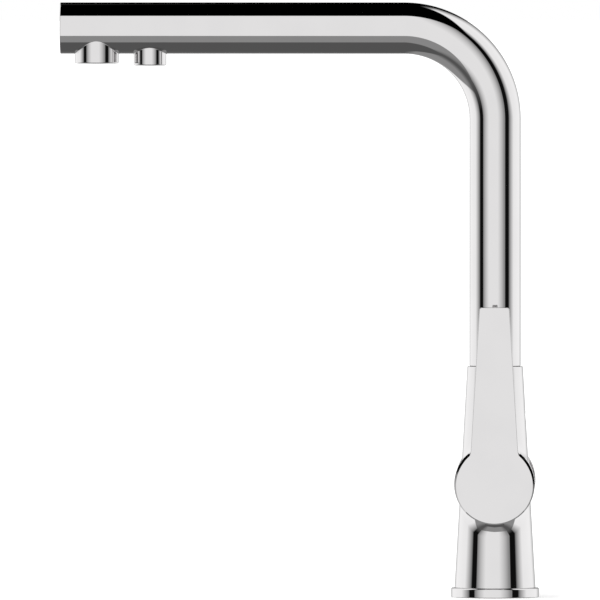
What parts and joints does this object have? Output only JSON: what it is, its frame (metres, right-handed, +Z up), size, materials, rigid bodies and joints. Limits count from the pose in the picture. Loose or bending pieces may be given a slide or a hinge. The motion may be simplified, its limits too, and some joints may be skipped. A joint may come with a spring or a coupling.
{
  "type": "drinking water filter tap",
  "caption": "Chrome kitchen tap with an L-shaped swivelling spout, a slim cone body and flat upright side levers, giving mixed water and filtered drinking water from separate outlets.",
  "frame": {"origin": "Middle of the foot on the worktop plane, on the axis of the fixing stud hole and of the spout's swivel.", "axes": "+Z up along the riser; the spout arm points to -X; the mixer lever is on the -Y side and the filter lever on the +Y side."},
  "size_m": [0.2614, 0.099, 0.3244],
  "materials": {
    "chrome": "polished chrome plate on brass",
    "brass": "machined brass",
    "steel": "stainless steel",
    "rubber": "black sealing rubber",
    "black_plastic": "dark bearing plastic",
    "white_plastic": "pale moulded plastic",
    "ceramic": "lapped ceramic",
    "hose_plastic": "flexible food-grade plastic",
    "grey_plastic": "grey moulded plastic"
  },
  "bodies": {
    "tap_body": {"body_casting": "chrome", "base_flange": "chrome", "base_gasket": "rubber", "foot_seals": "rubber", "swivel_bush": "black_plastic", "stop_screw": "steel", "cartridge_base": "white_plastic", "port_seals": "rubber", "fixed_disc": "ceramic", "cartridge_housing": "white_plastic", "cartridge_nut": "brass", "mixer_cover": "chrome", "valve_seal": "rubber", "valve_body": "brass", "valve_fixed_disc": "ceramic", "filter_cover": "chrome"},
    "spout": {"spout_tube": "chrome", "end_plug": "chrome", "spout_tail": "brass", "tail_rings": "rubber", "nozzle_ring": "rubber", "main_collar": "chrome", "main_aerator": "white_plastic", "main_screen": "steel", "main_seal": "rubber", "filter_collar": "chrome", "filter_aerator": "white_plastic", "filter_seal": "rubber", "filter_elbow": "brass", "inner_hose": "hose_plastic"},
    "mixer_core": {"mixer_rotor": "white_plastic", "pivot_pin": "steel"},
    "mixer_slide": {"moving_disc": "ceramic", "disc_slider": "white_plastic"},
    "mixer_handle": {"mixer_lever": "chrome", "mixer_stem": "steel", "mixer_screw": "steel", "mixer_plug": "grey_plastic"},
    "filter_handle": {"filter_lever": "chrome", "filter_spindle": "brass", "spindle_ring": "rubber", "spindle_clip": "steel", "valve_moving_disc": "ceramic", "filter_screw": "steel", "filter_plug": "grey_plastic"}
  },
  "joints": [
    {"name": "spout_swivel", "type": "hinge", "parent": "tap_body", "child": "spout", "pos_m": [0, 0, 0.11], "axis": [0, 0, 1], "range_deg": [-70, 70]},
    {"name": "mixer_turn", "type": "hinge", "parent": "tap_body", "child": "mixer_core", "pos_m": [0, -0.0296, 0.0628], "axis": [0, 1, 0], "range_deg": [-45, 45]},
    {"name": "mixer_tilt", "type": "hinge", "parent": "mixer_core", "child": "mixer_handle", "pos_m": [0, -0.0296, 0.0628], "axis": [1, 0, 0], "range_deg": [0, 20]},
    {"name": "disc_slide", "type": "slide", "parent": "mixer_core", "child": "mixer_slide", "axis": [0, 0, 1], "range_m": [0, 0.0021]},
    {"name": "filter_turn", "type": "hinge", "parent": "tap_body", "child": "filter_handle", "pos_m": [0, 0.03, 0.0628], "axis": [0, -1, 0], "range_deg": [0, 90]}
  ],
  "couplings": [
    {"joint": "disc_slide", "follows": "mixer_tilt", "m_per_rad": 0.00588}
  ]
}
